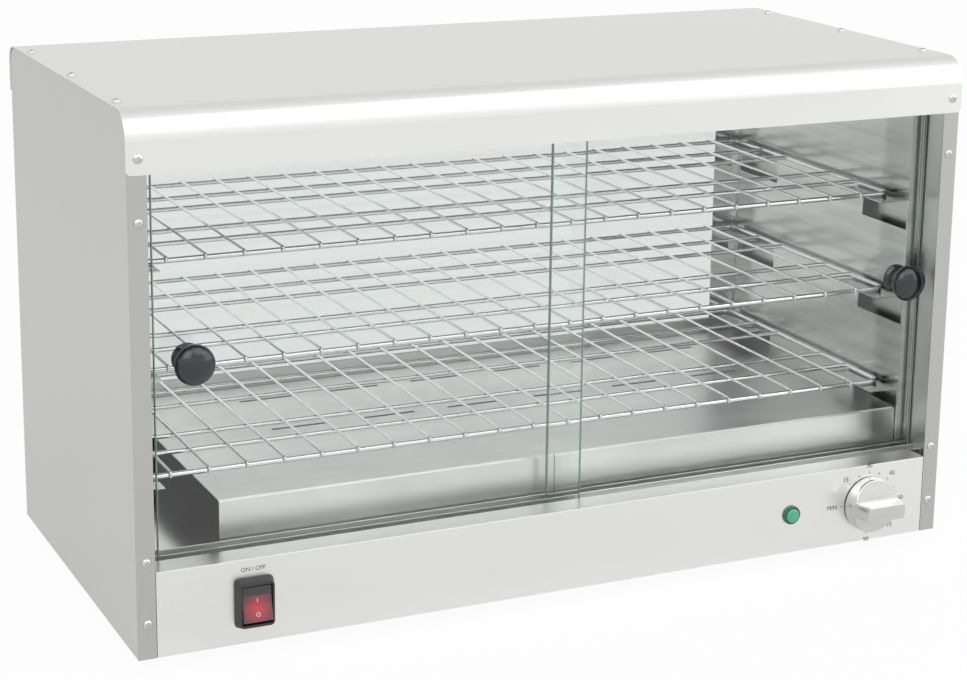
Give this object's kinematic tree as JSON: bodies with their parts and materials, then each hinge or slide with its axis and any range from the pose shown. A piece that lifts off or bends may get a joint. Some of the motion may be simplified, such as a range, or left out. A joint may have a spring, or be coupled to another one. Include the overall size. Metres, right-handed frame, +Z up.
{
  "type": "heated display cabinet",
  "caption": "Counter-top heated food display cabinet of folded stainless sheet, with sliding glass doors, glazed back, lift-out wire shelves, boxed element, rocker switch and thermostat dial.",
  "frame": {"origin": "middle of the bounding box in X and Y, on the surface that the feet stand on", "axes": "+Z up, front faces -Y, +X to the right as seen from the front"},
  "size_m": [0.753, 0.4066, 0.447],
  "materials": {
    "satin_steel": "satin stainless sheet",
    "polished_steel": "polished stainless sheet",
    "brushed_steel": "brushed stainless sheet",
    "track_aluminium": "mill finish",
    "chromed_wire": "bright chrome on steel wire",
    "clear_glass": "clear toughened glass, greenish at the edges",
    "black_phenolic": "glossy black",
    "black_plastic": "matt black",
    "red_translucent": "translucent red",
    "green_translucent": "translucent green",
    "brushed_chrome": "brushed chrome",
    "element_sheath": "heat-darkened steel sheath",
    "zinc_plate": "zinc plated",
    "capillary_copper": "drawn copper tube",
    "foot_rubber": "moulded black rubber"
  },
  "bodies": {
    "case": {"top_cover": "satin_steel", "left_side_panel": "satin_steel", "right_side_panel": "satin_steel", "front_fascia": "satin_steel", "base_pan": "satin_steel", "front_left_foot": "foot_rubber", "front_right_foot": "foot_rubber", "rear_left_foot": "foot_rubber", "rear_right_foot": "foot_rubber", "left_liner": "polished_steel", "right_liner": "polished_steel", "cabinet_floor": "brushed_steel", "ceiling_liner": "polished_steel", "front_bottom_track": "track_aluminium", "front_top_track": "track_aluminium", "element_cover": "brushed_steel", "heating_element": "element_sheath", "element_clip_left": "zinc_plate", "element_clip_right": "zinc_plate", "rear_lower_panel": "satin_steel", "rear_glass_bottom_channel": "track_aluminium", "rear_glass_top_channel": "track_aluminium", "rear_glass": "clear_glass", "rear_left_upright": "satin_steel", "rear_right_upright": "satin_steel", "switch_bezel": "black_plastic", "pilot_lamp_body": "black_plastic", "pilot_lamp_lens": "green_translucent", "thermostat_body": "zinc_plate", "thermostat_capillary": "capillary_copper", "terminal_block": "black_plastic", "cord_gland": "black_plastic"},
    "left_door": {"left_door_glass": "clear_glass", "left_door_knob": "black_phenolic", "left_door_knob_screw": "zinc_plate"},
    "right_door": {"right_door_glass": "clear_glass", "right_door_knob": "black_phenolic", "right_door_knob_screw": "zinc_plate"},
    "rocker": {"switch_rocker": "red_translucent"},
    "dial": {"thermostat_knob": "brushed_chrome", "thermostat_shaft": "zinc_plate"},
    "upper_shelf": {"top_shelf": "chromed_wire"},
    "centre_shelf": {"middle_shelf": "chromed_wire"},
    "lower_shelf": {"bottom_shelf": "chromed_wire"}
  },
  "joints": [
    {"name": "left_door_slide", "type": "slide", "parent": "case", "child": "left_door", "axis": [1, 0, 0], "range_m": [-0.0245, 0.31]},
    {"name": "right_door_slide", "type": "slide", "parent": "case", "child": "right_door", "axis": [1, 0, 0], "range_m": [-0.31, 0]},
    {"name": "rocker_pivot", "type": "hinge", "parent": "case", "child": "rocker", "pos_m": [-0.28, -0.17665, 0.0468], "axis": [1, 0, 0], "range_deg": [0, 18]},
    {"name": "dial_turn", "type": "hinge", "parent": "case", "child": "dial", "pos_m": [0.3018, -0.17335, 0.0474], "axis": [0, 1, 0], "range_deg": [0, 270]},
    {"name": "top_shelf_lift", "type": "slide", "parent": "case", "child": "upper_shelf", "axis": [0, 0, 1], "range_m": [0, 0.09]},
    {"name": "middle_shelf_lift", "type": "slide", "parent": "case", "child": "centre_shelf", "axis": [0, 0, 1], "range_m": [0, 0.08]},
    {"name": "bottom_shelf_lift", "type": "slide", "parent": "case", "child": "lower_shelf", "axis": [0, 0, 1], "range_m": [0, 0.08]}
  ]
}
